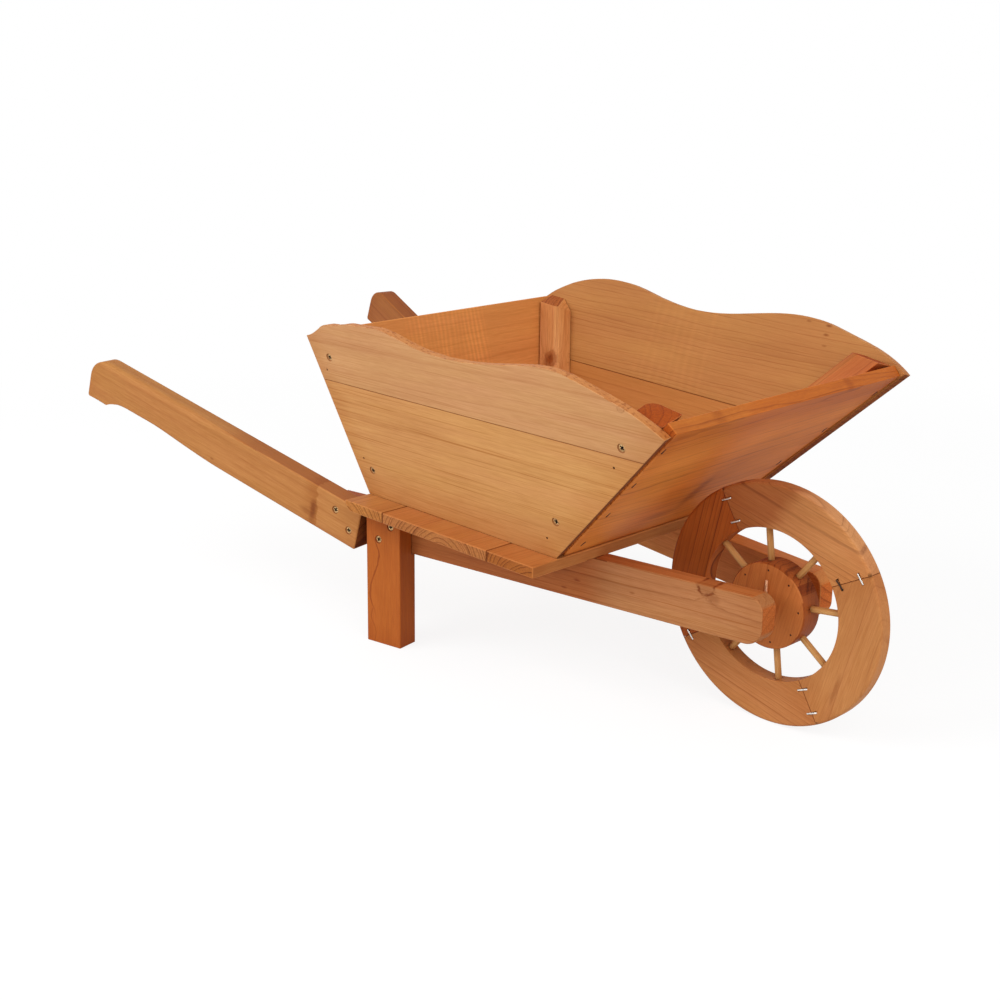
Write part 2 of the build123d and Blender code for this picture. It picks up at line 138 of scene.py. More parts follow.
def sway(tree, vector, lengths, detail):  # the same noise, about zero
    return sums(tree, "SUBTRACT", cloud(tree, vector, lengths, detail), 0.5)


def newGroup(name, inputs, outputs):  # the labels of the sockets are given by kind
    tree = bpy.data.node_groups.new(name, "ShaderNodeTree")
    for side, kinds in (("INPUT", inputs), ("OUTPUT", outputs)):
        for kind, labels in kinds.items():
            for label in labels:
                tree.interface.new_socket(label, in_out=side, socket_type="NodeSocket" + kind)
    return tree, tree.nodes.new("NodeGroupInput").outputs, tree.nodes.new("NodeGroupOutput")


def newMaterial(name):
    material = bpy.data.materials.new(name)
    material.use_nodes = True
    return material, material.node_tree, material.node_tree.nodes["Principled BSDF"]


# knot, pitch pocket, blotch or painted shadow spot: a soft eye or a broken ring, and how far it bends the year
# rings
eyeShape = dict(edge=((7, 4, 12), 3.0), edgeSway=(0.7, 0.65), eyeRange=(1.3, 0.2), ringAt=0.8, ringWide=0.26,
                gaps=((9, 6, 12), 1.0), gapRange=(0.4, 0.6, 0.4, 1.0), faintEye=0.3, push=-0.9, pushHeld=0.6)


def makeKnotAndShadeGroup():
    tree, entry, leave = newGroup("knotEye", {"Vector": ["Vector", "Centre"],
                                              "Float": ["Size", "Stretch", "Ring", "Dark", "Bend"]},
                                  {"Float": ["Mask", "Push"]})
    away = vectors(tree, "SUBTRACT", entry["Vector"], entry["Centre"])
    split = apart(tree, away)
    squeezed = sums(tree, "DIVIDE", split[0], entry["Stretch"])
    far = vectors(tree, "LENGTH", put(tree, "CombineXYZ", {0: squeezed, 1: split[1]}).outputs[0])
    edge = cloud(tree, away, *eyeShape["edge"])
    edge = scaled(tree, edge, *eyeShape["edgeSway"])
    share = sums(tree, "DIVIDE", times(tree, far, edge), entry["Size"])
    eye = spread(tree, share, *eyeShape["eyeRange"])
    offRing = sums(tree, "ABSOLUTE", sums(tree, "SUBTRACT", share, eyeShape["ringAt"]))
    gaps = spread(tree, cloud(tree, away, *eyeShape["gaps"]), *eyeShape["gapRange"])
    line = times(tree, spread(tree, offRing, eyeShape["ringWide"], 0.0), gaps)
    ring = sums(tree, "MAXIMUM", line, times(tree, eye, eyeShape["faintEye"]))
    mask = scaled(tree, entry["Ring"], sums(tree, "SUBTRACT", ring, eye), eye)
    held = sums(tree, "MAXIMUM", sums(tree, "POWER", share, 2.0), eyeShape["pushHeld"])
    push = sums(tree, "DIVIDE", times(tree, split[1], eyeShape["push"]), held)
    feed(tree, leave, {"Mask": times(tree, mask, entry["Dark"]), "Push": times(tree, push, entry["Bend"])})
    return tree


# one dark line that winds along the grain
veinShape = dict(stray=((16, 30, 30), 2.0), strayReach=5.0, edgeRange=(1.0, 0.2), endRange=(0.6, 0.35))


def makeVeinGroup():
    tree, entry, leave = newGroup("darkVein", {"Vector": ["Vector", "Centre"],
                                               "Float": ["Swing", "Length", "Width", "Dark"]},
                                  {"Float": ["Mask"]})
    away = vectors(tree, "SUBTRACT", entry["Vector"], entry["Centre"])
    split = apart(tree, away)
    wave = sums(tree, "SINE", times(tree, sums(tree, "DIVIDE", split[0], entry["Length"]), 2 * pi))
    stray = times(tree, sway(tree, away, *veinShape["stray"]), veinShape["strayReach"])
    aside = sums(tree, "ADD", sums(tree, "SUBTRACT", split[1], times(tree, wave, entry["Swing"])), stray)
    aside = sums(tree, "DIVIDE", sums(tree, "ABSOLUTE", aside), entry["Width"])
    along = sums(tree, "DIVIDE", sums(tree, "ABSOLUTE", split[0]), entry["Length"])
    line = spread(tree, aside, *veinShape["edgeRange"])
    line = times(tree, line, spread(tree, along, *veinShape["endRange"]))
    feed(tree, leave, {"Mask": times(tree, line, entry["Dark"])})
    return tree


# how near a point lies to a plane, from 0 at a depth inside it to 1 on it and beyond, with a ragged edge
reachEdge = ((40, 9, 9), 3.0)


def makeReachGroup():
    tree, entry, leave = newGroup("reachOfEnd", {"Vector": ["Vector", "Facing"],
                                                 "Float": ["Reach", "Depth", "Ragged"]},
                                  {"Float": ["Mask"]})
    along = vectors(tree, "DOT_PRODUCT", entry["Vector"], entry["Facing"])
    ragged = times(tree, sway(tree, entry["Vector"], *reachEdge), entry["Ragged"])
    inside = sums(tree, "ADD", sums(tree, "SUBTRACT", entry["Reach"], along), ragged)
    feed(tree, leave, {"Mask": spread(tree, sums(tree, "DIVIDE", inside, entry["Depth"]), 1.0, 0.0)})
    return tree


# wood: year rings about a pith, fibre, tone, planer ripples, soaked ends, sawn edges, worn arrises with a painted
# highlight, painted shade in joints, knots and painted shade spots
woodSockets = {"Vector": ["Vector", "Pith"], "Color": ["Early", "Late", "Warm", "End Tint", "Edge Tint"],
               "Float": ["Spacing", "Wander", "Taper", "Lines", "Streak", "Fibre", "Tone", "Chatter",
                         "Chatter Pitch", "Chatter At", "Chatter Reach", "Seed", "Knot", "Push", "Soak",
                         "End", "End Lines", "Edge", "Mottle", "Arris"]}
woodNoise = dict(  # blotches in mm along, across and through the grain, and the detail in them
    slowWander=((380, 80, 80), 1.0), quickWander=((70, 12, 12), 2.0), brokenLines=((120, 9, 9), 2.0),
    coarseFibre=((80, 2.4, 2.4), 3.0), fineFibre=((16, 1.0, 1.0), 2.0), broadTone=((240, 34, 34), 2.0),
    patches=((70, 16, 16), 3.0), longStreaks=((170, 1.6, 1.6), 2.0), shortStreaks=((55, 1.1, 1.1), 1.0),
    hueDrift=((150, 26, 26), 2.0), rippleBend=((30, 60, 60), 1.0), rippleFade=((14, 70, 70), 1.0),
    pores=((1.4, 1.4, 1.4), 2.0), flecks=((5, 3, 3), 3.0), knotMottle=((3, 2, 2), 2.0),
    wornPatches=((22, 9, 9), 2.0))
woodRange = dict(  # where a noise starts and ends to show, and how strongly at both
    brokenLines=(0.3, 0.6, 0.5, 1.0), longStreaks=(0.55, 0.7), shortStreaks=(0.6, 0.72, 0.0, 0.7),
    hueDrift=(0.32, 0.68), rippleEnds=(1.0, 0.7), rippleFade=(0.3, 0.7, 0.3, 1.0), flecks=(0.5, 0.68),
    wornPatches=(0.35, 0.7, 0.15, 0.7))
woodTint = dict(  # what the colour is multiplied by
    yellow=(1.01, 1.015, 0.97, 1), pink=(1.0, 0.965, 0.975, 1), fibre=(0.7, 0.54, 0.38, 1),
    soak=(0.84, 0.7, 0.55, 1), fleck=(0.62, 0.45, 0.32, 1), knot=(0.44, 0.24, 0.12, 1),
    rubbed=(1.2, 1.16, 1.08, 1), grime=(0.42, 0.28, 0.18, 1))
woodYear = ((0.55, 0.05), (0.8, 0.3), (0.92, 1.0), (0.965, 0.7))  # how dark the wood is through a year
woodGain = dict(  # how much each cause adds, with the level that it adds to where that is fixed
    seedSteps=(713.0, 331.0, 177.0), quickWander=0.16, drift=2.0, paceLength=0.45, pace=1.6, year=(0.8, 0.2),
    fineFibre=1.5, patches=0.6, rippleBend=8.0, rippleWave=(0.5, 0.5), rippleLight=0.22, warm=(1.6, 0.4),
    toneLight=(-0.35, 1.0), fibreBrown=(-1.3, 0.3), endRings=-0.3, endPores=(0.9, 0.62),
    knotMottle=(1.2, 0.4), fibreRough=(0.2, 0.6), endRough=0.2, fibreHigh=0.6, lateHigh=0.35, poreHigh=0.6)


def makeWoodGroup():
    tree, entry, leave = newGroup("woodFigure", woodSockets,
                                  {"Color": ["Color"], "Float": ["Roughness", "Height"]})
    vector, gain = entry["Vector"], woodGain
    steps = [times(tree, entry["Seed"], step) for step in gain["seedSteps"]]
    place = vectors(tree, "ADD", vector, put(tree, "CombineXYZ", dict(enumerate(steps))).outputs[0])

    def noise(name):
        return cloud(tree, place, *woodNoise[name])

    def noiseAboutZero(name):
        return sway(tree, place, *woodNoise[name])

    def shown(name):
        return spread(tree, noise(name), *woodRange[name])

    # year rings
    split = apart(tree, vectors(tree, "SUBTRACT", vector, entry["Pith"]))
    radius = vectors(tree, "LENGTH", put(tree, "CombineXYZ", {1: split[1], 2: split[2]}).outputs[0])
    drift = scaled(tree, noiseAboutZero("quickWander"), gain["quickWander"], noiseAboutZero("slowWander"))
    drift = scaled(tree, split[0], entry["Taper"], times(tree, drift, entry["Wander"]))
    radius = sums(tree, "ADD", scaled(tree, drift, gain["drift"], radius), entry["Push"])
    ring = sums(tree, "DIVIDE", radius, entry["Spacing"])
    pace = scaled(tree, ring, gain["paceLength"], entry["Seed"])  # wide and narrow years
    pace = put(tree, "TexNoise", {"W": pace, "Scale": 1.0, "Detail": 1.0}, noise_dimensions="1D").outputs[0]
    ring = scaled(tree, pace, gain["pace"], ring)
    year = sums(tree, "ADD", sums(tree, "FLOOR", ring), entry["Seed"])
    year = put(tree, "TexWhiteNoise", {"W": year}, noise_dimensions="1D").outputs["Value"]
    ramp = put(tree, "ValToRGB", {0: sums(tree, "FRACT", ring)})
    stops = ramp.color_ramp.elements
    stops[0].position, stops[1].position = 0.0, 1.0
    stops[1].color = (0, 0, 0, 1)
    for position, level in woodYear:
        stops.new(position).color = (level, level, level, 1)
    line = ramp.outputs[0]
    late = times(tree, line, scaled(tree, year, *gain["year"]))
    late = times(tree, times(tree, late, shown("brokenLines")), entry["Lines"])
    onEnd = times(tree, line, entry["End Lines"])
    late = scaled(tree, entry["End"], sums(tree, "SUBTRACT", onEnd, late), late, clamp=True)

    # fibre, broad tone, streaks and a drift between yellow and pink
    fibre = scaled(tree, noiseAboutZero("fineFibre"), gain["fineFibre"], noiseAboutZero("coarseFibre"))
    fibre = times(tree, fibre, entry["Fibre"])
    tone = scaled(tree, noiseAboutZero("patches"), gain["patches"], noiseAboutZero("broadTone"))
    tone = times(tree, tone, entry["Tone"])
    streak = times(tree, sums(tree, "MAXIMUM", shown("longStreaks"), shown("shortStreaks")), entry["Streak"])
    hue = blend(tree, shown("hueDrift"), woodTint["yellow"], woodTint["pink"])

    # ripples that a planer leaves across the board
    bent = scaled(tree, noise("rippleBend"), gain["rippleBend"], apart(tree, vector)[0])
    wave = sums(tree, "SINE", times(tree, sums(tree, "DIVIDE", bent, entry["Chatter Pitch"]), 2 * pi))
    aside = sums(tree, "ABSOLUTE", sums(tree, "SUBTRACT", bent, entry["Chatter At"]))
    where = spread(tree, sums(tree, "DIVIDE", aside, entry["Chatter Reach"]), *woodRange["rippleEnds"])
    where = times(tree, where, shown("rippleFade"))
    ripple = times(tree, scaled(tree, wave, *gain["rippleWave"]), where)
    ripple = times(tree, ripple, entry["Chatter"])

    colour = blend(tree, late, entry["Early"], entry["Late"])
    warm = scaled(tree, tone, *gain["warm"], clamp=True)
    colour = dyed(tree, tinted(tree, warm, colour, entry["Warm"]), hue)
    light = scaled(tree, tone, *gain["toneLight"])
    colour = shade(tree, colour, scaled(tree, ripple, gain["rippleLight"], light))
    brown = scaled(tree, fibre, *gain["fibreBrown"])
    colour = tinted(tree, sums(tree, "MAXIMUM", brown, streak, clamp=True), colour, woodTint["fibre"])

    # stain that soaked in at the ends, then sawn edges and end grain
    colour = tinted(tree, entry["Soak"], colour, woodTint["soak"])
    flecks = times(tree, shown("flecks"), entry["Mottle"])
    edge = tinted(tree, flecks, dyed(tree, colour, entry["Edge Tint"]), woodTint["fleck"])
    colour = blend(tree, entry["Edge"], colour, edge)
    pores = noise("pores")
    light = scaled(tree, pores, *gain["endPores"])
    light = scaled(tree, onEnd, gain["endRings"], light)
    colour = blend(tree, entry["End"], colour, shade(tree, dyed(tree, colour, entry["End Tint"]), light))

    # knots and painted shade spots, then arrises that are rubbed pale with a painted highlight, or darkened as
    # painted shade where two boards meet
    light = scaled(tree, noise("knotMottle"), *gain["knotMottle"])
    colour = blend(tree, entry["Knot"], colour, shade(tree, dyed(tree, colour, woodTint["knot"]), light))
    wornHighlight = times(tree, sums(tree, "MAXIMUM", entry["Arris"], 0.0), shown("wornPatches"))
    colour = tinted(tree, wornHighlight, colour, woodTint["rubbed"])
    grime = sums(tree, "MAXIMUM", times(tree, entry["Arris"], -1.0), 0.0)
    colour = tinted(tree, grime, colour, woodTint["grime"])

    rough = scaled(tree, fibre, *gain["fibreRough"])
    rough = scaled(tree, entry["End"], gain["endRough"], rough)
    height = scaled(tree, fibre, gain["fibreHigh"], times(tree, late, gain["lateHigh"]))
    openPores = times(tree, pores, sums(tree, "ADD", entry["End"], entry["Mottle"]))
    height = scaled(tree, openPores, gain["poreHigh"], height)
    feed(tree, leave, {"Color": colour, "Roughness": rough, "Height": height})
    return tree


knotEye = makeKnotAndShadeGroup()
darkVein = makeVeinGroup()
reachOfEnd = makeReachGroup()
woodFigure = makeWoodGroup()
print("wood groups ready")


# marks on the wood start from a point on the object, in metres, and their sizes are in mm
def knot(spot, size, stretch, dark, ring=0.0, bend=0.0):
    return {"Centre": spot, "Size": size, "Stretch": stretch, "Ring": ring, "Dark": dark, "Bend": bend}


def vein(spot, swing, length, width, dark):
    return {"Centre": spot, "Swing": swing, "Length": length, "Width": width, "Dark": dark}


def band(spot, facing, depth, tint):  # a paler or darker stretch beyond a plane
    return {"plane": (spot, facing, depth), "tint": (*tint, 1.0)}


markLabels = ("endGrain", "edgeGrain", "arris")  # numbers that each face carries for the finish
raggedEdges = dict(soakDepth=34.0, soakRagged=30.0, bandRagged=14.0, stripRagged=8.0)  # in mm
varnish = dict(bump=0.4, bumpDeep=0.6, specular=0.16)
plainWood = dict(early=(0.8, 0.58, 0.36), late=(0.66, 0.4, 0.2), warm=(0.98, 0.9, 0.8), spacing=9.0,
                 pith=(0.0, 160.0, 40.0), wander=10.0, taper=0.006, lines=0.6, streak=0.5, fibre=0.55,
                 tone=0.6, chatter=0.0, chatterAt=(0, 0, 0), chatterReach=60.0, pitch=9.0, seed=1.0, soak=0.5,
                 endTint=(0.6, 0.42, 0.3), endLines=0.8, endLean=0.9, edgeTint=(0.9, 0.8, 0.72), edgeLean=0.6,
                 edgeFrom=None, mottle=0.0, rubbed=0.8, arris=0.8, knots=(), veins=(), bands=(), joinTo=())
plainLabels = ("spacing", "pith", "wander", "taper", "lines", "streak", "fibre", "tone", "chatter", "seed")


def woodMaterial(name, grain, ends, look):
    material, tree, shader = newMaterial(name)
    centre, turn = grain
    objectPlace = put(tree, "TexCoord").outputs["Object"]
    grainPlace = put(tree, "Mapping", {"Vector": objectPlace, "Location": centre, "Rotation": turn.to_euler(),
                                       "Scale": (mm, mm, mm)}, vector_type="TEXTURE").outputs[0]

    def onGrain(point):  # mm along, across and through the grain
        return turn.transposed() @ (Vector(point) - centre) / mm

    def place(group, values):
        return put(tree, "Group", {"Vector": grainPlace, **values}, node_tree=group).outputs

    def near(facing, reach, depth, ragged):  # near an end, or past it
        values = {"Facing": facing, "Reach": reach, "Depth": depth, "Ragged": ragged}
        return place(reachOfEnd, values)["Mask"]

    def beyond(spot, facing, depth, ragged):  # past a plane through a point on the object
        facing = turn.transposed() @ Vector(facing).normalized()
        return near(facing, onGrain(spot).dot(facing), depth, ragged)

    dark, push, soak = 0.0, 0.0, 0.0
    for group, marks in ((knotEye, look["knots"]), (darkVein, look["veins"])):
        for mark in marks:
            made = place(group, {**mark, "Centre": onGrain(mark["Centre"])})
            dark = sums(tree, "MAXIMUM", made["Mask"], dark)
            push = sums(tree, "ADD", made["Push"], push) if mark.get("Bend") else push
    for facing, reach in ends:
        wet = near(facing, reach, raggedEdges["soakDepth"], raggedEdges["soakRagged"])
        soak = sums(tree, "MAXIMUM", wet, soak)
    end, edge, arris = [put(tree, "Attribute", attribute_name=label).outputs["Fac"] for label in markLabels]
    if look["edgeFrom"]:  # the dark top strip begins past the rounded grip
        edge = times(tree, edge, beyond(*look["edgeFrom"], raggedEdges["stripRagged"]))
    figure = place(woodFigure, {
        **{label.capitalize(): look[label] for label in plainLabels},
        "Early": linear(look["early"]), "Late": linear(look["late"]), "Warm": (*look["warm"], 1.0),
        "Chatter Pitch": look["pitch"], "Chatter At": onGrain(look["chatterAt"])[0],
        "Chatter Reach": look["chatterReach"], "Knot": dark, "Push": push,
        "Soak": times(tree, soak, look["soak"]), "End": end, "End Tint": (*look["endTint"], 1.0),
        "End Lines": look["endLines"], "Edge": edge, "Edge Tint": (*look["edgeTint"], 1.0),
        "Mottle": times(tree, edge, look["mottle"]), "Arris": times(tree, arris, look["rubbed"])})
    colour = figure["Color"]
    # bands tint stretches of the wood; on the right rail and felloe_1 they are painted shade and light
    for stretch in look["bands"]:
        colour = tinted(tree, beyond(*stretch["plane"], raggedEdges["bandRagged"]), colour, stretch["tint"])
    bump = put(tree, "Bump", {"Height": figure["Height"], "Strength": varnish["bump"],
                              "Distance": varnish["bumpDeep"] * mm}).outputs[0]
    feed(tree, shader, {"Base Color": colour, "Roughness": figure["Roughness"], "Normal": bump,
                        "Specular IOR Level": varnish["specular"]})
    return material


# copies of the sawn pieces, merged, eased on their arrises and marked for the finish
bench = dict(  # lengths in mm, areas in square mm, angles in degrees, facings as cosines, digits in metres
    weld=0.005, flatWithin=0.4, sharpFrom=20.0, endFacing=0.55, endFade=0.06, arrisFrom=25.0, arrisLeast=1.4,
    arrisRun=25.0, arrisFace=9.0, arrisSegments=2, jointReach=0.45, jointMove=0.13, dirtReach=1.3,
    steelReach=0.3, holeFace=40.0, broadFace=800.0, lengthDigits=6, areaDigits=9)


def copyOfCad(name):
    bm = bmesh.new()
    bm.from_mesh(cadNodes[name].data)
    for label in markLabels:
        bm.faces.layers.float.new(label)
    bmesh.ops.remove_doubles(bm, verts=bm.verts, dist=bench["weld"] * mm)
    return bm


def largest(faces):
    return max(faces, key=lambda face: round(face.calc_area(), bench["areaDigits"]))


def grainFrame(bm, along=None, through=None):  # a piece's middle, and its grain along, across and through
    if along is None:
        sharp = [edge for edge in bm.edges if edge.calc_face_angle(0) > radians(bench["sharpFrom"])]
        longest = max(sharp, key=lambda edge: round(edge.calc_length(), bench["lengthDigits"]))
        along = longest.verts[1].co - longest.verts[0].co
    along = along.normalized()
    if max(along, key=abs) < 0:
        along = -along
    if through is None:
        through = largest(bm.faces).normal
    through = (through - along * through.dot(along)).normalized()
    turn = Matrix((along, through.cross(along), through)).transposed()
    local = [turn.transposed() @ vert.co for vert in bm.verts]
    middle = Vector([(min(p[i] for p in local) + max(p[i] for p in local)) / 2 for i in range(3)])
    return turn @ middle, turn


def endPlanes(bm, grain):  # where the grain is cut off at each end, as seen from the middle of the grain
    centre, turn = grain
    ends = []
    for way in (-1, 1):
        cuts = [face for face in bm.faces if face.normal.dot(turn.col[0]) * way > bench["endFacing"]]
        if cuts:
            cut = largest(cuts)
            facing = turn.transposed() @ cut.normal
            ends.append((facing, (turn.transposed() @ (cut.calc_center_median() - centre)).dot(facing) / mm))
    return ends


def easeArrises(bm, width):
    arrises = [edge for edge in bm.edges if len(edge.link_faces) == 2 and edge.is_convex
               and edge.calc_face_angle(0) > radians(bench["arrisFrom"])
               and edge.calc_length() > bench["arrisLeast"] * mm
               and min(face.calc_area() for face in edge.link_faces) > bench["arrisFace"] * mm ** 2]
    for edge in arrises[:]:  # short lengths, so that each can be marked by what it touches
        for left in range(int(edge.calc_length() / (bench["arrisRun"] * mm)), 0, -1):
            new = bmesh.utils.edge_split(edge, edge.verts[0], 1 / (left + 1))[0]
            arrises.append(new)
            edge = max(edge, new, key=lambda part: part.calc_length())
    eased = bmesh.ops.bevel(bm, geom=arrises, offset=width, offset_type="OFFSET", affect="EDGES",
                            segments=bench["arrisSegments"], profile=0.5, material=-1, clamp_overlap=False)
    return set(eased["faces"])


woodTrees, steelTrees = {}, {}  # to find where a piece meets another, or its fasteners
for node, slot in slotOf.items():
    mesh = cadNodes[node].data
    trees = woodTrees if slot.endswith("wood") else steelTrees
    trees[node] = BVHTree.FromPolygons([vert.co for vert in mesh.vertices],
                                       [face.vertices[:] for face in mesh.polygons])


def meetsOther(trees, node, spot, reach):
    return any(tree.find_nearest(spot, reach * mm)[0] is not None
               for other, tree in trees.items() if other != node)


def closeJoints(bm, node, others):  # butt ends meet, so that no light shows between them
    trees = {other: woodTrees[other] for other in others}
    for face in bm.faces[:]:
        if all(meetsOther(trees, node, vert.co, bench["jointReach"]) for vert in face.verts):
            bmesh.ops.translate(bm, verts=face.verts, vec=face.normal * bench["jointMove"] * mm)


def markFaces(bm, node, eased, grain, look):
    along, across = grain[1].col[0], grain[1].col[1]
    endGrain, edgeGrain, arris = [bm.faces.layers.float[label] for label in markLabels]
    for face in bm.faces:  # arris is 1 where rubbed pale with a painted highlight, -1 for painted shade in a joint or in a fastener's hole
        spot = face.calc_center_median()
        area = face.calc_area() / mm ** 2
        if face in eased:
            face[arris] = -1.0 if meetsOther(woodTrees, node, spot, bench["dirtReach"]) else 1.0
        # small faces by a fastener, the walls of its hole, get painted shade
        elif area < bench["holeFace"] and meetsOther(steelTrees, node, spot, bench["steelReach"]):
            face[arris] = -1.0
        else:
            cutAcross = (abs(face.normal.dot(along)) - look["endLean"]) / bench["endFade"]
            face[endGrain] = min(max(cutAcross, 0.0), 1.0)
            face[edgeGrain] = 1.0 if abs(face.normal.dot(across)) > look["edgeLean"] else 0.0
        face.smooth = face in eased or area < bench["broadFace"]  # broad faces stay truly flat


def pieceName(node):
    words = node.split("_")
    return words[0] + "".join(word.capitalize() for word in words[1:] or ["piece"])


def finishPiece(bm, materials, replaced, smooth=True):
    name = pieceName(replaced[0])
    mesh = bpy.data.meshes.new(name)
    bm.normal_update()
    bm.to_mesh(mesh)
    bm.free()
    piece = bpy.data.objects.new(name, mesh)
    scene.collection.objects.link(piece)
    for material in materials:
        mesh.materials.append(material)
    if smooth:
        even = piece.modifiers.new("evenShading", "WEIGHTED_NORMAL")
        even.keep_sharp = True
    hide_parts(*replaced)
    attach(piece, bodyOf[replaced[0]])


def sawnPiece(node, changes, along=None, through=None):
    look = {**plainWood, **changes}
    bm = copyOfCad(node)
    bmesh.ops.dissolve_limit(bm, angle_limit=radians(bench["flatWithin"]), verts=bm.verts, edges=bm.edges)
    grain = grainFrame(bm, along, through)
    if look["joinTo"]:
        closeJoints(bm, node, look["joinTo"])
    ends = endPlanes(bm, grain)
    eased = easeArrises(bm, look["arris"] * mm)
    markFaces(bm, node, eased, grain, look)
    finishPiece(bm, [woodMaterial(pieceName(node) + "Wood", grain, ends, look)], [node])


# tub
# the near black-brown end tints paint shade on the boards' front and back edges as well as darken their end grain
rightSideLook = dict(fibre=0.4, soak=0.55, endTint=(0.42, 0.3, 0.22), endLean=0.6, arris=0.5)
leftSideLook = dict(fibre=0.3, endTint=(0.5, 0.36, 0.26), endLean=0.6, arris=0.5)
# the battens' pale edge tint is painted light on their narrow side, offsetting its shade
backBattenLook = dict(spacing=4.0, pith=(0, 60, 20), lines=0.9, fibre=0.8, endTint=(0.62, 0.42, 0.32),
                      endLean=0.6, edgeTint=(1.1, 1.12, 1.1))
frontBattenLook = dict(early=(0.78, 0.48, 0.27), late=(0.6, 0.32, 0.16), spacing=5.5, pith=(0, 40, 25),
                       lines=0.8, endLines=0.4, endLean=0.6)
tubLooks = {
    "right_side_upper_board": dict(
        rightSideLook, early=(0.819, 0.626, 0.439), late=(0.687, 0.437, 0.24), spacing=8.0, seed=3.0,
        pith=(0, 420, 60), lines=0.4, streak=0.7, edgeTint=(0.98, 0.76, 0.5), mottle=0.9,
        knots=[knot((0.33417, -0.17252, 0.31801), 3.4, 1.3, 0.6, ring=1.0, bend=1.0)]),
    "right_side_lower_board": dict(
        rightSideLook, early=(0.825, 0.62, 0.388), late=(0.691, 0.441, 0.21), spacing=7.0, seed=8.0,
        pith=(0, -300, 80), lines=0.5, streak=0.9, tone=0.7),
    "left_side_upper_board": dict(
        leftSideLook, early=(0.753, 0.537, 0.313), late=(0.629, 0.385, 0.196), spacing=4.6, seed=5.0,
        pith=(0, 330, 40), lines=0.8, streak=0.4, wander=12.0, chatter=0.25, chatterAt=(0.12, 0.165, 0.3),
        pitch=11.0, soak=0.45, edgeTint=(1.1, 1.0, 0.9), mottle=0.5,
        knots=[knot((0.27173, 0.17408, 0.33911), 1.3, 2.6, 0.5),
               knot((0.29505, 0.1736, 0.33682), 1.5, 2.6, 0.8),
               knot((0.29372, 0.17123, 0.32801), 1.5, 2.4, 0.75),
               knot((0.29393, 0.1684, 0.31743), 1.3, 2.4, 0.45)]),
    "left_side_lower_board": dict(
        leftSideLook, early=(0.766, 0.517, 0.28), late=(0.649, 0.387, 0.188), spacing=5.5, seed=6.0,
        pith=(0, -260, 70), lines=0.65, soak=0.4),
    "front_board": dict(
        early=(0.875, 0.527, 0.221), late=(0.639, 0.323, 0.111), spacing=8.0, seed=11.0, pith=(0, 120, 40),
        lines=0.75, wander=26.0, tone=0.9, edgeTint=(0.93, 0.94, 0.93), endTint=(0.8, 0.64, 0.5), mottle=0.15,
        bands=[band((0.371, 0, 0.297), (0.714, 0, 0.7), 45.0, (0.78, 0.66, 0.54)),
               band((0.31, -0.085, 0.235), (0, -1, 0), 45.0, (0.99, 1.12, 1.32))],
        # the first two spots are no knots: they paint the wheel's shadow on the board as an L-shaped dark band
        knots=[knot((0.27, 0.0045, 0.1969), 34.0, 0.3, 0.5), knot((0.245, -0.018, 0.173), 8.0, 4.0, 0.4),
               knot((0.37751, -0.10577, 0.30411), 5.0, 1.6, 0.3),
               knot((0.37815, 0.08322, 0.30343), 4.0, 1.6, 0.3)]),
    "back_board": dict(
        early=(0.879, 0.602, 0.34), late=(0.748, 0.456, 0.229), spacing=10.0, seed=14.0, pith=(0, 200, 70),
        lines=0.45, fibre=0.4, chatter=0.8, chatterAt=(-0.0718, 0.004, 0.308), chatterReach=66.0, pitch=6.0,
        soak=0.4),
    "back_left_batten": dict(
        backBattenLook, early=(0.832, 0.59, 0.371), late=(0.645, 0.394, 0.224), seed=21.0,
        knots=[knot((-0.0423, 0.1315, 0.265), 9.5, 1.2, 1.2, ring=0.25, bend=1.0)]),
    "back_right_batten": dict(backBattenLook, early=(0.8, 0.54, 0.35), late=(0.62, 0.36, 0.21), seed=22.0),
    "front_left_batten": dict(frontBattenLook, endTint=(0.66, 0.4, 0.2), seed=23.0),
    "front_right_batten": dict(frontBattenLook, endTint=(0.66, 0.41, 0.14), seed=24.0),
}
for node, look in tubLooks.items():
    sawnPiece(node, look)
print("tub done")


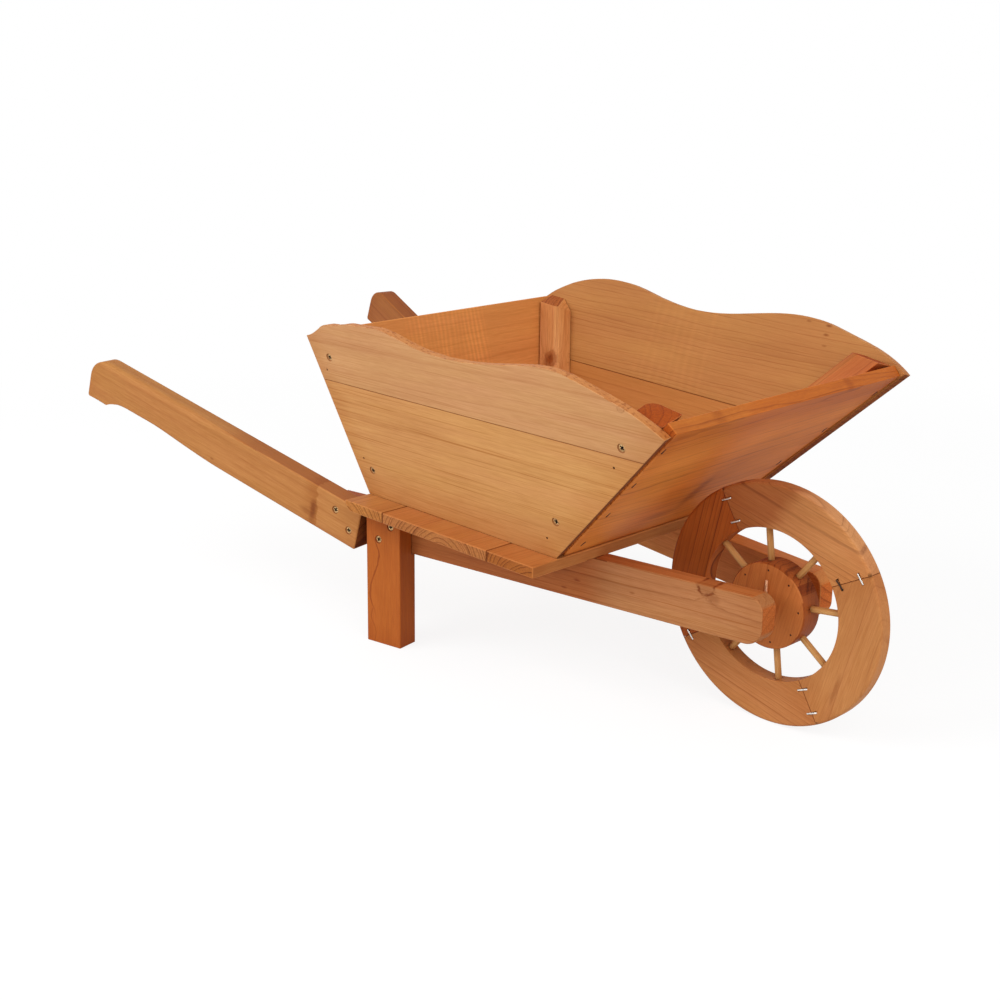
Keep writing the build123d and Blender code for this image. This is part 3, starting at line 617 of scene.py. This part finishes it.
# carriage
floorBoardLook = dict(lines=0.8, endLines=1.2, arris=0.9)
railLook = dict(spacing=9.0, edgeLean=0.97, arris=0.9)
legLook = dict(wander=14.0, tone=0.8, edgeTint=(0.85, 0.75, 0.7), arris=0.9)
# the dark end tint is mostly painted shade on the handles' cut ends, partly their end grain
handleLook = dict(endTint=(0.42, 0.28, 0.19), arris=1.3)
handleFoot = ((-0.1018, -0.1627, 0.137), (0.98, 0.17, -0.1))  # a point on the right handle's end, its facing
carriageLooks = {
    "back_floor_board": dict(
        floorBoardLook, early=(0.769, 0.538, 0.312), late=(0.608, 0.37, 0.188), spacing=5.0, seed=31.0,
        pith=(0, 30, -26), endTint=(0.9, 0.88, 0.78)),
    "middle_floor_board": dict(
        floorBoardLook, early=(0.769, 0.518, 0.299), late=(0.608, 0.346, 0.171), spacing=4.5, seed=32.0,
        pith=(0, -10, -30), endTint=(0.82, 0.84, 0.9)),
    "front_floor_board": dict(
        floorBoardLook, early=(0.769, 0.511, 0.288), late=(0.606, 0.35, 0.164), spacing=5.0, seed=33.0,
        pith=(0, -30, -28), endTint=(0.72, 0.63, 0.47), edgeTint=(0.82, 0.8, 0.82)),
    "right_rail": dict(
        railLook, early=(0.731, 0.514, 0.337), late=(0.589, 0.367, 0.211), seed=41.0, pith=(0, 90, 60),
        lines=0.85, streak=0.9, edgeTint=(1.12, 0.9, 0.68), endTint=(1.03, 0.71, 0.46), endLines=0.3,
        # the band darkens the rail's rear stretch as painted shade under the platform
        bands=[band((0.205, -0.087, 0.115), (-1, 0, 0), 45.0, (0.88, 0.64, 0.46))],
        knots=[knot((0.33683, -0.06356, 0.13644), 9.0, 1.1, 1.0, ring=1.0, bend=1.0),
               knot((0.3443, -0.0622, 0.1262), 6.0, 1.2, 0.4),
               knot((0.20361, -0.08672, 0.11428), 1.5, 2.8, 0.7),
               knot((0.18918, -0.0892, 0.10408), 1.4, 2.6, 0.6),
               knot((0.26281, -0.0764, 0.11436), 1.3, 2.4, 0.5)]),
    "left_rail": dict(
        railLook, early=(0.884, 0.599, 0.351), late=(0.752, 0.456, 0.246), seed=42.0, pith=(0, -90, 60),
        edgeTint=(1.0, 0.9, 0.78), endTint=(0.95, 0.66, 0.45)),
    "right_leg": dict(
        legLook, early=(0.719, 0.402, 0.156), late=(0.557, 0.269, 0.084), spacing=26.0, seed=51.0,
        pith=(0, 60, 140), lines=0.25, streak=0.3,
        veins=[vein((-0.0278, -0.1472, 0.076), -6.0, 84.0, 1.5, 0.6),
               vein((-0.03, -0.1475, 0.02), 3.0, 40.0, 1.2, 0.35)]),
    "left_leg": dict(
        legLook, early=(0.71, 0.39, 0.18), late=(0.55, 0.26, 0.1), spacing=20.0, seed=52.0, pith=(0, 60, 120),
        lines=0.35),
    "right_handle": dict(
        handleLook, early=(0.734, 0.513, 0.29), late=(0.634, 0.39, 0.2), spacing=10.0, seed=61.0,
        pith=(0, 110, 50), lines=0.4, edgeTint=(0.84, 0.68, 0.56), soak=0.25,
        edgeFrom=((-0.2, -0.17, 0.2), (1, 0.17, -0.25), 60.0),
        knots=[knot((-0.1085, -0.1645, 0.132), 15.0, 0.38, 0.75),
               knot((-0.117, -0.166, 0.13), 5.0, 2.4, 0.4),
               knot((-0.2614, -0.19136, 0.16551), 1.3, 2.6, 0.5)],
        bands=[band(*handleFoot, 28.0, (0.84, 0.72, 0.6)), band(*handleFoot, 2.5, (1.24, 1.46, 1.85))]),
    "left_handle": dict(
        handleLook, early=(0.655, 0.407, 0.208), late=(0.554, 0.309, 0.139), spacing=9.0, seed=62.0,
        pith=(0, -110, 50), lines=0.8, streak=0.9, edgeTint=(0.84, 0.7, 0.58)),
}
for node, look in carriageLooks.items():
    sawnPiece(node, look)
print("carriage done")


# wheel
def average(points):
    return sum(points, Vector()) / len(points)


wheelAt = Vector(frame["joints"][0]["pos_m"])
axleWay = Vector((0, 1, 0))
upward = Vector((0, 0, 1))
felloeLooks = {
    # felloe_1 is part real tone and part painted light and shade: its colours are darkened as the tub's painted
    # shadow, its band paints the lit lower right, and its bluish tread tint is a painted sheen
    "felloe_1": dict(
        early=(0.715, 0.451, 0.26), late=(0.45, 0.229, 0.119), spacing=4.5, seed=71.0, lines=0.75,
        pith=(0, 170, 40), edgeTint=(1.05, 1.1, 1.28),
        bands=[band((0.394, -0.008, 0.212), (0.8, 0, -0.6), 18.0, (1.35, 1.7, 1.95))]),
    # felloe_2's dark colours are partly its own wood and partly painted shade of the tub
    "felloe_2": dict(
        early=(0.7, 0.374, 0.142), late=(0.37, 0.146, 0.042), spacing=4.0, seed=72.0, lines=1.1,
        pith=(0, -170, 40), edgeTint=(1.1, 1.1, 1.1)),
    "felloe_3": dict(
        early=(0.77, 0.528, 0.317), late=(0.604, 0.357, 0.188), spacing=5.0, seed=73.0, lines=0.8,
        pith=(0, 170, 30), edgeTint=(1.0, 0.95, 0.9)),
    "felloe_4": dict(
        early=(0.767, 0.532, 0.324), late=(0.613, 0.365, 0.189), spacing=6.5, seed=74.0, lines=0.55,
        pith=(0, -170, 40), edgeTint=(1.05, 1.0, 1.0),
        knots=[knot((0.43676, -0.008, 0.05361), 3.0, 6.0, 0.4)]),
}
felloeLook = dict(wander=5.0, endTint=(0.7, 0.55, 0.42), joinTo=list(felloeLooks), arris=0.4)
for node, look in felloeLooks.items():
    outward = average([vert.co for vert in cadNodes[node].data.vertices]) - wheelAt
    sawnPiece(node, {**felloeLook, **look}, along=outward.cross(axleWay), through=axleWay)

spokeCount = 8
spokeLook = dict(early=(0.85, 0.66, 0.43), late=(0.74, 0.51, 0.29), spacing=2.2, pith=(0, 14, 6), wander=2.0,
                 lines=0.5, tone=0.5, soak=0.0, arris=0.2, seed=80.0)
for number in range(1, spokeCount + 1):
    lo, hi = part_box(f"spoke_{number}")
    sawnPiece(f"spoke_{number}", {**spokeLook, "seed": spokeLook["seed"] + number},
              along=(lo + hi) / 2 - wheelAt, through=axleWay)

hubLook = dict(early=(0.789, 0.479, 0.25), late=(0.59, 0.31, 0.14), spacing=5.0, seed=91.0, pith=(0, 40, 16),
               wander=22.0, lines=0.65, soak=0.0, edgeTint=(0.63, 0.49, 0.4), endTint=(0.63, 0.49, 0.4),
               endLean=0.62, grain=(0.25, 0, 1))
sawnPiece("hub", hubLook, along=Vector(hubLook["grain"]), through=axleWay)

axleLook = dict(early=(0.8, 0.55, 0.34), late=(0.68, 0.43, 0.24), spacing=3.0, seed=95.0, pith=(0, 9, 5),
                wander=3.0, arris=0.6)
sawnPiece("axle", axleLook, along=axleWay, through=upward)
print("wheel done")


# steel for the fasteners
steelLooks = {
    "yellowZinc": dict(bright=(0.9, 0.74, 0.52), dull=(0.5, 0.34, 0.2), rough=0.25, metal=1.0),
    "stapleWire": dict(bright=(0.95, 0.94, 0.92), dull=(0.8, 0.78, 0.76), rough=0.16, metal=1.0),
    "darkIron": dict(bright=(0.24, 0.17, 0.13), dull=(0.12, 0.08, 0.06), rough=0.45, metal=0.6),
    # the pin's warm pink colour is a painted reflection of the wood around it
    "paleNail": dict(bright=(0.98, 0.76, 0.585), dull=(0.83, 0.6, 0.435), rough=0.3, metal=0.7),
}
steelWear = dict(dull=((1.3, 1.3, 1.3), 3.0), dullRange=(0.35, 0.68), scratch=((4.0, 0.3, 0.3), 2.0),
                 scratchRough=0.3)


def steelMaterial(name, look):
    material, tree, shader = newMaterial(name)
    place = put(tree, "Mapping", {"Vector": put(tree, "TexCoord").outputs["Object"], "Scale": (mm, mm, mm)},
                vector_type="TEXTURE").outputs[0]
    dull = spread(tree, cloud(tree, place, *steelWear["dull"]), *steelWear["dullRange"])
    scratch = cloud(tree, place, *steelWear["scratch"])
    feed(tree, shader, {"Base Color": blend(tree, dull, linear(look["bright"]), linear(look["dull"])),
                        "Roughness": scaled(tree, scratch, steelWear["scratchRough"], look["rough"]),
                        "Metallic": look["metal"]})
    return material


yellowZinc, stapleWire, darkIron, paleNail = [steelMaterial(name, look) for name, look in steelLooks.items()]


# where each fastener of a group sits, read from its own solid
def looseParts(node):
    bm = copyOfCad(node)
    parts = []
    for start in bm.verts:
        if start.tag:
            continue
        start.tag = True
        found, waiting = [], [start]
        while waiting:
            vert = waiting.pop()
            found.append(vert.co.copy())
            for edge in vert.link_edges:
                other = edge.other_vert(vert)
                if not other.tag:
                    other.tag = True
                    waiting.append(other)
        parts.append(found)
    bm.free()
    return parts


def farEnd(points, way, within):  # the points that lie furthest along a way
    most = max(point.dot(way) for point in points)
    return [point for point in points if point.dot(way) > most - within * mm]


def lengthAlong(points, way):
    reaches = [point.dot(way) for point in points]
    return max(reaches) - min(reaches)


def sideways(points):  # the way that a fastener on the left or right looks
    return Vector((0, 1 if average(points).y > 0 else -1, 0))


seat = dict(firstHead=0.35, head=1.6, tip=0.5, crown=1.0, top=0.05, rounds=3)  # ends in mm


def pinSeat(points, outward):  # head centre, shaft direction and length of a screw or nail
    head = average(farEnd(points, outward, seat["firstHead"]))
    tip = max(points, key=lambda point: (point - head).length)
    for again in range(seat["rounds"]):  # each round brings the two ends nearer to the true axis
        way = (head - tip).normalized()
        head = average(farEnd(points, way, seat["head"]))
        tip = average(farEnd(points, -way, seat["tip"]))
    return head, (head - tip).normalized(), (head - tip).length


def stapleSeat(points, outward):  # where a staple stands, the width of its crown and the length of its legs
    crownPoints = farEnd(points, outward, seat["crown"])
    first = max(crownPoints, key=lambda point: (point - average(crownPoints)).length)
    second = max(crownPoints, key=lambda point: (point - first).length)
    way = second - first
    way = (way - outward * way.dot(outward)).normalized()
    top = average(farEnd(points, outward, seat["top"]))
    turn = Matrix((way, outward.cross(way), outward)).transposed().to_4x4()
    return Matrix.Translation(top) @ turn, lengthAlong(crownPoints, way), lengthAlong(points, outward)


def standOn(point, way, turn=0.0):  # puts a shape made upright at the origin onto its seat
    upright = way.to_track_quat("Z", "Y").to_matrix().to_4x4()
    return Matrix.Translation(point) @ upright @ Matrix.Rotation(turn, 4, "Z")


def addShape(bm, shape):
    mesh = bpy.data.meshes.new("shape")
    shape.to_mesh(mesh)
    shape.free()
    bm.from_mesh(mesh)
    bpy.data.meshes.remove(mesh)


def madeVerts(made):
    return [item for item in made["geom"] if isinstance(item, bmesh.types.BMVert)]


def openLoop(geom):
    return [item for item in geom if isinstance(item, bmesh.types.BMEdge) and len(item.link_faces) < 2]


# screws, sunk in their countersinks, with a cross that the driver fits
screw = dict(head=3.6, lip=0.3, neck=1.75, sink=2.3, point=4.0, tip=0.2, sunk=0.75, sides=28, slotWide=0.75,
             slotReach=2.3, slotDeep=1.8, slotTaper=0.6, turn=20.0, turnStep=37.0)


def addScrew(bm, place, length):
    shape = bmesh.new()
    bmesh.ops.create_circle(shape, cap_ends=True, segments=screw["sides"], radius=screw["head"] * mm)
    for axis in (Vector((1, 0, 0)), Vector((0, 1, 0))):
        for offset in ("slotWide", "slotReach"):
            for side in (-1, 1):
                bmesh.ops.bisect_plane(shape, geom=shape.verts[:] + shape.edges[:] + shape.faces[:],
                                       plane_co=axis * (side * screw[offset] * mm), plane_no=axis)
    cross = []
    for face in shape.faces:
        spot = face.calc_center_median() / mm
        near, far = sorted((abs(spot.x), abs(spot.y)))
        if near < screw["slotWide"] and far < screw["slotReach"]:
            cross.append(face)
    slotFloor = madeVerts(bmesh.ops.extrude_face_region(shape, geom=cross))
    bmesh.ops.delete(shape, geom=cross, context="FACES")
    bmesh.ops.scale(shape, verts=slotFloor, vec=(screw["slotTaper"], screw["slotTaper"], 1))
    bmesh.ops.translate(shape, verts=slotFloor, vec=(0, 0, -screw["slotDeep"] * mm))
    rim = [edge for edge in shape.edges if edge.is_boundary]
    full = length / mm
    for radius, depth in ((screw["head"], screw["lip"]), (screw["neck"], screw["sink"]),
                          (screw["neck"], full - screw["point"]), (screw["tip"], full)):
        made = bmesh.ops.extrude_edge_only(shape, edges=rim)
        rim = openLoop(made["geom"])
        ring = madeVerts(made)
        grow = radius * mm / max(vert.co.xy.length for vert in ring)
        bmesh.ops.scale(shape, verts=ring, vec=(grow, grow, 1))
        bmesh.ops.translate(shape, verts=ring, vec=(0, 0, -depth * mm - ring[0].co.z))
    bmesh.ops.holes_fill(shape, edges=rim)
    bmesh.ops.recalc_face_normals(shape, faces=shape.faces)
    slotVerts = set(slotFloor)
    for face in shape.faces:  # the slot is lined with dark iron, painted shade in the recess
        face.material_index = 1 if slotVerts.intersection(face.verts) else 0
    sunk = Matrix.Translation((0, 0, -screw["sunk"] * mm))
    bmesh.ops.transform(shape, matrix=place @ sunk, verts=shape.verts)
    addShape(bm, shape)


for node in ("side_screws", "leg_screws", "handle_screws"):
    bm = bmesh.new()
    for number, points in enumerate(looseParts(node)):
        head, way, length = pinSeat(points, sideways(points))
        addScrew(bm, standOn(head, way, radians(screw["turn"] + screw["turnStep"] * number)), length)
    finishPiece(bm, [yellowZinc, darkIron], [node], smooth=False)


# nails and brads with a crowned head, whose tip and rounding go by the radius
nail = dict(crown=0.12, point=2.0, tip=0.35, rounding=0.3, roundingSteps=2, sides=14,
            radius={"side_brads": 1.1, "hub_nails": 1.2, "axle_pin": 1.25})


def addNail(bm, place, radius, length):
    shape = bmesh.new()
    point = nail["point"] * mm
    bmesh.ops.create_cone(shape, cap_ends=True, segments=nail["sides"], radius1=nail["tip"] * radius,
                          radius2=radius, depth=point)
    bmesh.ops.translate(shape, verts=shape.verts, vec=(0, 0, point / 2 - length))
    top = max(shape.faces, key=lambda face: face.calc_center_median().z)
    shank = madeVerts(bmesh.ops.extrude_face_region(shape, geom=[top]))
    bmesh.ops.translate(shape, verts=shank, vec=(0, 0, length - point - nail["crown"] * mm))
    bmesh.ops.delete(shape, geom=[top], context="FACES_ONLY")
    top = max(shape.faces, key=lambda face: face.calc_center_median().z)
    bmesh.ops.bevel(shape, geom=list(top.edges), offset=nail["rounding"] * radius, offset_type="OFFSET",
                    affect="EDGES", segments=nail["roundingSteps"], profile=0.5, material=-1)
    bmesh.ops.recalc_face_normals(shape, faces=shape.faces)
    bmesh.ops.transform(shape, matrix=place, verts=shape.verts)
    for face in shape.faces:
        face.smooth = len(face.verts) == 4
    addShape(bm, shape)


# brads and hub nails are dark iron; on the hub nails the darkness is also painted shade of their holes
for node, radius in nail["radius"].items():
    standing = node == "axle_pin"
    bm = bmesh.new()
    for points in looseParts(node):
        head, way, length = pinSeat(points, upward if standing else sideways(points))
        addNail(bm, standOn(head, way), radius * mm, length)
    finishPiece(bm, [paleNail if standing else darkIron], [node], smooth=False)


# staples of flattened wire, bent twice, one of them twisted and rusty
staple = dict(wire=1.5, flat=0.5, bend=0.6, bendSteps=4, sides=10, weld=0.001,
              twistedNear=(0.4357, -0.008, 0.1503), twistedWithin=6.0, twist=24.0)


def addStaple(bm, place, crown, leg, index=0):
    shape = bmesh.new()
    wire, bend = staple["wire"] * mm, staple["bend"] * mm
    thick = wire * staple["flat"]
    half = crown / 2 - thick / 2
    bmesh.ops.create_circle(shape, cap_ends=False, segments=staple["sides"], radius=wire / 2)
    bmesh.ops.scale(shape, verts=shape.verts, vec=(staple["flat"], 1, 1))
    bmesh.ops.translate(shape, verts=shape.verts, vec=(-half, 0, -leg))
    low = -thick / 2 - bend
    legRun, crownRun = leg + low, 2 * half - 2 * bend
    steps = ((Vector((0, 0, legRun)), (-half + bend, 0, low)),
             (Vector((crownRun, 0, 0)), (half - bend, 0, low)),
             (Vector((0, 0, -legRun)), None))
    loop = shape.edges[:]
    for run, centre in steps:  # straight, then a quarter turn
        made = bmesh.ops.extrude_edge_only(shape, edges=loop)
        bmesh.ops.translate(shape, verts=madeVerts(made), vec=run)
        loop = openLoop(made["geom"])
        if centre:
            turned = bmesh.ops.spin(shape, geom=loop, cent=centre, axis=(0, 1, 0), angle=pi / 2,
                                    steps=staple["bendSteps"])
            loop = openLoop(turned["geom_last"])
    bmesh.ops.holes_fill(shape, edges=[edge for edge in shape.edges if edge.is_boundary])
    bmesh.ops.remove_doubles(shape, verts=shape.verts, dist=staple["weld"] * mm)
    bmesh.ops.recalc_face_normals(shape, faces=shape.faces)
    bmesh.ops.transform(shape, matrix=place, verts=shape.verts)
    for face in shape.faces:
        face.smooth = True
        face.material_index = index
    addShape(bm, shape)


bm = bmesh.new()
for points in looseParts("rim_staples"):
    place, crown, leg = stapleSeat(points, sideways([point - wheelAt for point in points]))
    twisted = (place.translation - Vector(staple["twistedNear"])).length < staple["twistedWithin"] * mm
    if twisted:
        place = place @ Matrix.Rotation(radians(staple["twist"]), 4, "Z")
    addStaple(bm, place, crown, leg, 1 if twisted else 0)
finishPiece(bm, [stapleWire, darkIron], ["rim_staples"], smooth=False)

boardFaces = cadNodes["front_board"].data.polygons
boardOut = max(boardFaces, key=lambda face: round(face.area, bench["areaDigits"])).normal.copy()
if boardOut.z > 0:
    boardOut = -boardOut
bm = bmesh.new()
for points in looseParts("front_staples"):
    addStaple(bm, *stapleSeat(points, boardOut))
finishPiece(bm, [darkIron], ["front_staples"], smooth=False)
print("fasteners done")


# studio: pale floor, broad key from the viewer's left, weaker fill from the right, even surround
studio = dict(surround=0.52, floorSize=6.0, floorTone=0.75, glowNear=0.86, mattNear=0.16, fadeFrom=0.9,
              fadeTo=1.6)
lamps = {
    "key": dict(place=(-0.85, -2.25, 1.75), aim=(0.05, 0, 0.2), size=2.0, power=45.0),
    "fill": dict(place=(2.3, -0.9, 2.0), aim=(0.1, 0, 0.2), size=1.8, power=38.0),
}
plainWhite = (1, 1, 1, 1)


def shownToViewer(tree, lighting, shown):  # what the camera and reflections see, apart from what gives light
    rays = put(tree, "LightPath").outputs
    direct = sums(tree, "MAXIMUM", rays["Is Camera Ray"], rays["Is Glossy Ray"])
    direct = sums(tree, "MAXIMUM", direct, rays["Is Transmission Ray"])
    return put(tree, "MixShader", {0: direct, 1: lighting, 2: shown}).outputs[0]


world = bpy.data.worlds.new("studio")
scene.world = world
world.use_nodes = True
tree = world.node_tree
tree.nodes.clear()
even = put(tree, "Background", {"Color": plainWhite, "Strength": studio["surround"]}).outputs[0]
white = put(tree, "Background", {"Color": plainWhite, "Strength": 1.0}).outputs[0]
put(tree, "OutputWorld", {"Surface": shownToViewer(tree, even, white)})

floorMesh = bmesh.new()
bmesh.ops.create_grid(floorMesh, x_segments=1, y_segments=1, size=studio["floorSize"])
mesh = bpy.data.meshes.new("floor")
floorMesh.to_mesh(mesh)
floorMesh.free()
floor = bpy.data.objects.new("floor", mesh)
scene.collection.objects.link(floor)
paleFloor, tree = newMaterial("paleFloor")[:2]
tree.nodes.clear()
reach = vectors(tree, "LENGTH", put(tree, "TexCoord").outputs["Object"])
far = spread(tree, reach, studio["fadeFrom"], studio["fadeTo"])
matt = put(tree, "BsdfDiffuse", {"Color": [studio["floorTone"]] * 3 + [1]}).outputs[0]
faint = put(tree, "BsdfDiffuse", {"Color": [studio["mattNear"]] * 3 + [1]}).outputs[0]
glow = put(tree, "Emission", {"Color": plainWhite, "Strength": studio["glowNear"]}).outputs[0]
white = put(tree, "Emission", {"Color": plainWhite, "Strength": 1.0}).outputs[0]
near = put(tree, "AddShader", {0: faint, 1: glow}).outputs[0]
shown = put(tree, "MixShader", {0: far, 1: near, 2: white}).outputs[0]
put(tree, "OutputMaterial", {"Surface": shownToViewer(tree, matt, shown)})
mesh.materials.append(paleFloor)

for name, lamp in lamps.items():
    lampData = bpy.data.lights.new(name, "AREA")
    lampData.shape = "SQUARE"
    lampData.size = lamp["size"]
    lampData.energy = lamp["power"]
    light = bpy.data.objects.new(name, lampData)
    light.location = lamp["place"]
    light.rotation_euler = (Vector(lamp["aim"]) - Vector(lamp["place"])).to_track_quat("-Z", "Y").to_euler()
    scene.collection.objects.link(light)
print("studio done")
